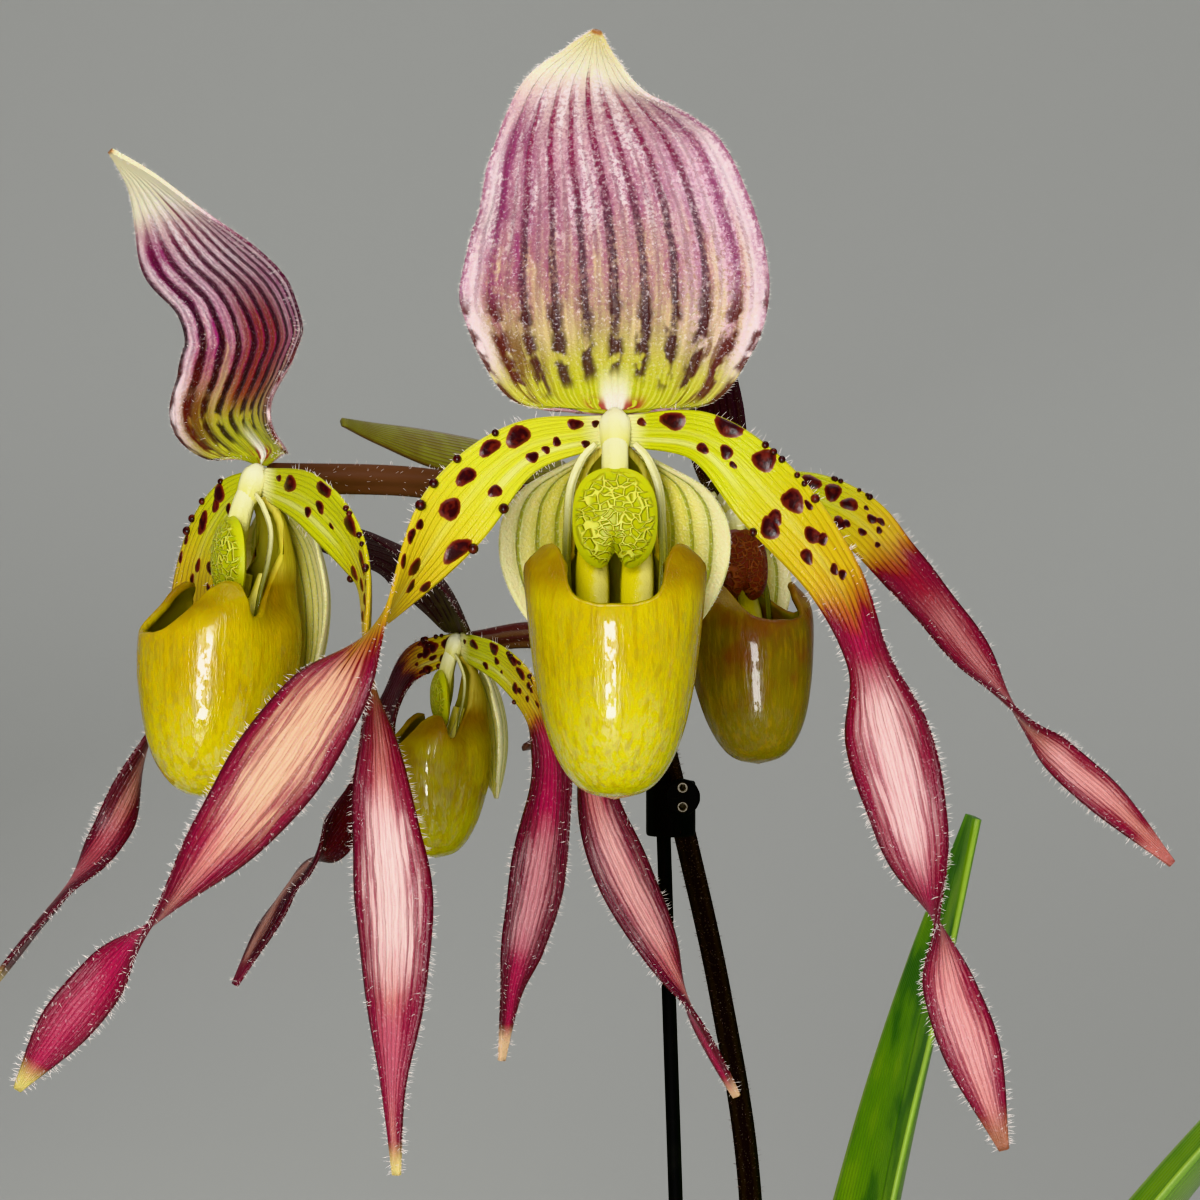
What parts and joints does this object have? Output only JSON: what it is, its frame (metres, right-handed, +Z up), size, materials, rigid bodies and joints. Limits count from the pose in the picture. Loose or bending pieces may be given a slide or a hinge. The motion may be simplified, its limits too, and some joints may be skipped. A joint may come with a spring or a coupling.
{
  "type": "potted paphiopedilum orchid",
  "caption": "Slipper orchid in flower, staked and clipped, with long twisted petals, yellow pouches and striped hoods, growing in bark in a plain round pot.",
  "frame": {"origin": "centre of the pot's flat underside, on the surface that the plant stands on", "axes": "+Z up along the pot's axis; -Y towards the side that the foremost bloom faces; +X to the right of someone who looks at that bloom"},
  "size_m": [0.3581, 0.1867, 0.4397],
  "materials": {
    "pot": "satin",
    "bark": "matte",
    "stake": "satin",
    "clip": "satin",
    "crown": "satin",
    "flower_stem": "matte",
    "leaf": "satin",
    "dorsal_sepal": "matte",
    "lower_sepal": "matte",
    "lip": "gloss",
    "column": "satin",
    "petal": "satin",
    "ovary": "matte",
    "bract": "matte"
  },
  "bodies": {
    "root": {"pot": "pot", "potting_bark": "bark", "stake": "stake", "stem_clip": "clip", "crown": "crown", "second_crown": "crown", "flower_stem": "flower_stem", "leaf_1": "leaf", "leaf_2": "leaf", "leaf_3": "leaf", "leaf_4": "leaf", "leaf_5": "leaf", "leaf_6": "leaf", "leaf_7": "leaf", "leaf_8": "leaf", "leaf_9": "leaf", "leaf_10": "leaf", "front_bloom_dorsal_sepal": "dorsal_sepal", "front_bloom_lower_sepal": "lower_sepal", "front_bloom_lip": "lip", "front_bloom_column": "column", "front_bloom_petal_left": "petal", "front_bloom_petal_right": "petal", "front_bloom_ovary": "ovary", "front_bloom_bract": "bract", "side_bloom_dorsal_sepal": "dorsal_sepal", "side_bloom_lower_sepal": "lower_sepal", "side_bloom_lip": "lip", "side_bloom_column": "column", "side_bloom_petal_left": "petal", "side_bloom_petal_right": "petal", "side_bloom_ovary": "ovary", "side_bloom_bract": "bract", "low_bloom_dorsal_sepal": "dorsal_sepal", "low_bloom_lower_sepal": "lower_sepal", "low_bloom_lip": "lip", "low_bloom_column": "column", "low_bloom_petal_left": "petal", "low_bloom_petal_right": "petal", "low_bloom_ovary": "ovary", "low_bloom_bract": "bract", "far_bloom_dorsal_sepal": "dorsal_sepal", "far_bloom_lower_sepal": "lower_sepal", "far_bloom_lip": "lip", "far_bloom_column": "column", "far_bloom_petal_left": "petal", "far_bloom_petal_right": "petal", "far_bloom_ovary": "ovary", "far_bloom_bract": "bract"}
  },
  "joints": []
}
